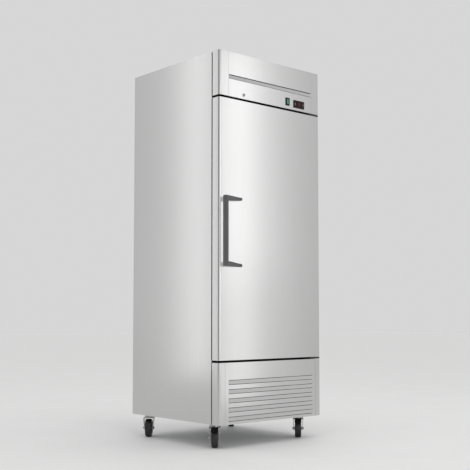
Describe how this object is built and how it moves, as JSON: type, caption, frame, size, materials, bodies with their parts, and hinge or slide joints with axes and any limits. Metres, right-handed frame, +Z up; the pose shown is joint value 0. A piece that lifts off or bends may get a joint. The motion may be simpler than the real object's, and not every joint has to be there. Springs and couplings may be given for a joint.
{
  "type": "reach-in refrigerator",
  "caption": "Upright stainless reach-in refrigerator on casters: hinged door, control fascia, louvred compressor panel, wire shelves.",
  "frame": {"origin": "on the floor, at the centre of the overall footprint, handle included", "axes": "+X to the right of a person facing the door, +Y towards the back, +Z up"},
  "size_m": [0.76, 0.82, 2.095],
  "materials": {
    "stainless": "brushed stainless sheet, vertical grain",
    "galvanised": "galvanised sheet, spangled",
    "liner": "matte aluminium liner",
    "insulation": "rigid polyurethane foam",
    "black_plastic": "moulded, fine texture",
    "grey_plastic": "moulded, satin",
    "white_plastic": "moulded, satin",
    "display": "dark display window",
    "green_lens": "lit green lens",
    "zinc": "bright zinc plate",
    "handle_grey": "dark grey satin coat",
    "black_nickel": "black nickel plate",
    "gasket": "soft black magnetic gasket",
    "wheel_black": "black rubber, slightly worn",
    "shelf_wire": "pale coated wire",
    "coil": "aluminium fins on tubes",
    "copper": "drawn copper tube",
    "compressor_black": "black enamel shell",
    "lamp": "opal diffuser",
    "bezel_plastic": "moulded, satin, dark brown"
  },
  "bodies": {
    "cabinet": {"back_panel": "galvanised", "base_chassis": "galvanised", "cabinet_insulation": "insulation", "caster_plates": "zinc", "compressor": "compressor_black", "compressor_mounts": "black_plastic", "condensate_pan": "white_plastic", "condenser_coil": "coil", "condenser_shroud": "galvanised", "controller_housing": "bezel_plastic", "controller_window": "display", "cord_inlet": "black_plastic", "drain_tube": "grey_plastic", "electrical_box": "grey_plastic", "evaporator_coil": "coil", "evaporator_cover": "galvanised", "face_frame": "black_plastic", "fan_motors": "zinc", "fascia_panel": "stainless", "grille_panel": "stainless", "hinge_brackets": "compressor_black", "inner_liner": "liner", "interior_light": "lamp", "left_side_panel": "stainless", "lock_housing": "black_nickel", "panel_screws": "zinc", "rear_grille": "galvanised", "refrigerant_lines": "copper", "right_side_panel": "stainless", "shelf_clips": "zinc", "shelf_pilasters": "zinc", "switch_housing": "black_plastic", "thermal_breaker": "grey_plastic", "top_panel": "stainless"},
    "door": {"door_skin": "stainless", "door_insulation": "insulation", "door_inner_panel": "stainless", "door_gasket": "gasket", "door_handle": "handle_grey", "handle_screws": "zinc", "door_bushes": "white_plastic"},
    "lock": {"lock_plug": "black_nickel"},
    "rocker": {"rocker": "green_lens"},
    "left_key": {"left_key": "grey_plastic"},
    "right_key": {"right_key": "grey_plastic"},
    "evaporator_fan": {"evaporator_fan": "black_plastic"},
    "condenser_fan": {"condenser_fan": "black_plastic"},
    "shelf_bottom": {"shelf_bottom": "shelf_wire"},
    "shelf_middle": {"shelf_middle": "shelf_wire"},
    "shelf_top": {"shelf_top": "shelf_wire"},
    "front_left_caster": {"front_left_fork": "zinc"},
    "front_left_wheel": {"front_left_wheel": "wheel_black"},
    "front_left_brake": {"front_left_brake": "black_plastic"},
    "front_right_caster": {"front_right_fork": "zinc"},
    "front_right_wheel": {"front_right_wheel": "wheel_black"},
    "front_right_brake": {"front_right_brake": "black_plastic"},
    "rear_left_caster": {"rear_left_fork": "zinc"},
    "rear_left_wheel": {"rear_left_wheel": "wheel_black"},
    "rear_right_caster": {"rear_right_fork": "zinc"},
    "rear_right_wheel": {"rear_right_wheel": "wheel_black"}
  },
  "joints": [
    {"name": "door_hinge", "type": "hinge", "parent": "cabinet", "child": "door", "pos_m": [0.364, -0.3325, 1.1495], "axis": [0, 0, 1], "range_deg": [0, 115]},
    {"name": "lock_turn", "type": "hinge", "parent": "cabinet", "child": "lock", "pos_m": [-0.206, -0.36, 1.876], "axis": [0, 1, 0], "range_deg": [0, 90]},
    {"name": "power_rocker", "type": "hinge", "parent": "cabinet", "child": "rocker", "pos_m": [0.125, -0.356, 1.894], "axis": [1, 0, 0], "range_deg": [0, 18]},
    {"name": "left_key_press", "type": "slide", "parent": "cabinet", "child": "left_key", "axis": [0, 1, 0], "range_m": [0, 0.0008], "stiffness_N_per_m": 800},
    {"name": "right_key_press", "type": "slide", "parent": "cabinet", "child": "right_key", "axis": [0, 1, 0], "range_m": [0, 0.0008], "stiffness_N_per_m": 800},
    {"name": "evaporator_fan_spin", "type": "hinge", "parent": "cabinet", "child": "evaporator_fan", "pos_m": [0, -0.1, 1.938], "axis": [0, 1, 0], "continuous": true},
    {"name": "condenser_fan_spin", "type": "hinge", "parent": "cabinet", "child": "condenser_fan", "pos_m": [-0.105, -0.14, 0.28], "axis": [0, 1, 0], "continuous": true},
    {"name": "shelf_bottom_lift", "type": "slide", "parent": "cabinet", "child": "shelf_bottom", "axis": [0, 0, 1], "range_m": [0, 0.02]},
    {"name": "shelf_middle_lift", "type": "slide", "parent": "cabinet", "child": "shelf_middle", "axis": [0, 0, 1], "range_m": [0, 0.02]},
    {"name": "shelf_top_lift", "type": "slide", "parent": "cabinet", "child": "shelf_top", "axis": [0, 0, 1], "range_m": [0, 0.02]},
    {"name": "front_left_swivel", "type": "hinge", "parent": "cabinet", "child": "front_left_caster", "pos_m": [-0.312, -0.248, 0.11], "axis": [0, 0, 1], "continuous": true},
    {"name": "front_left_roll", "type": "hinge", "parent": "front_left_caster", "child": "front_left_wheel", "pos_m": [-0.33074, -0.26881, 0.05], "axis": [0.7431, -0.6691, 0], "continuous": true},
    {"name": "front_left_brake_press", "type": "hinge", "parent": "front_left_caster", "child": "front_left_brake", "pos_m": [-0.34278, -0.28219, 0.103], "axis": [0.7431, -0.6691, 0], "range_deg": [0, 10.5]},
    {"name": "front_right_swivel", "type": "hinge", "parent": "cabinet", "child": "front_right_caster", "pos_m": [0.312, -0.248, 0.11], "axis": [0, 0, 1], "continuous": true},
    {"name": "front_right_roll", "type": "hinge", "parent": "front_right_caster", "child": "front_right_wheel", "pos_m": [0.29186, -0.26745, 0.05], "axis": [0.6947, -0.7193, 0], "continuous": true},
    {"name": "front_right_brake_press", "type": "hinge", "parent": "front_right_caster", "child": "front_right_brake", "pos_m": [0.27891, -0.27995, 0.103], "axis": [0.6947, -0.7193, 0], "range_deg": [0, 10.5]},
    {"name": "rear_left_swivel", "type": "hinge", "parent": "cabinet", "child": "rear_left_caster", "pos_m": [-0.312, 0.336, 0.11], "axis": [0, 0, 1], "continuous": true},
    {"name": "rear_left_roll", "type": "hinge", "parent": "rear_left_caster", "child": "rear_left_wheel", "pos_m": [-0.33145, 0.31586, 0.05], "axis": [0.7193, -0.6947, 0], "continuous": true},
    {"name": "rear_right_swivel", "type": "hinge", "parent": "cabinet", "child": "rear_right_caster", "pos_m": [0.312, 0.336, 0.11], "axis": [0, 0, 1], "continuous": true},
    {"name": "rear_right_roll", "type": "hinge", "parent": "rear_right_caster", "child": "rear_right_wheel", "pos_m": [0.33074, 0.35681, 0.05], "axis": [-0.7431, 0.6691, 0], "continuous": true}
  ]
}
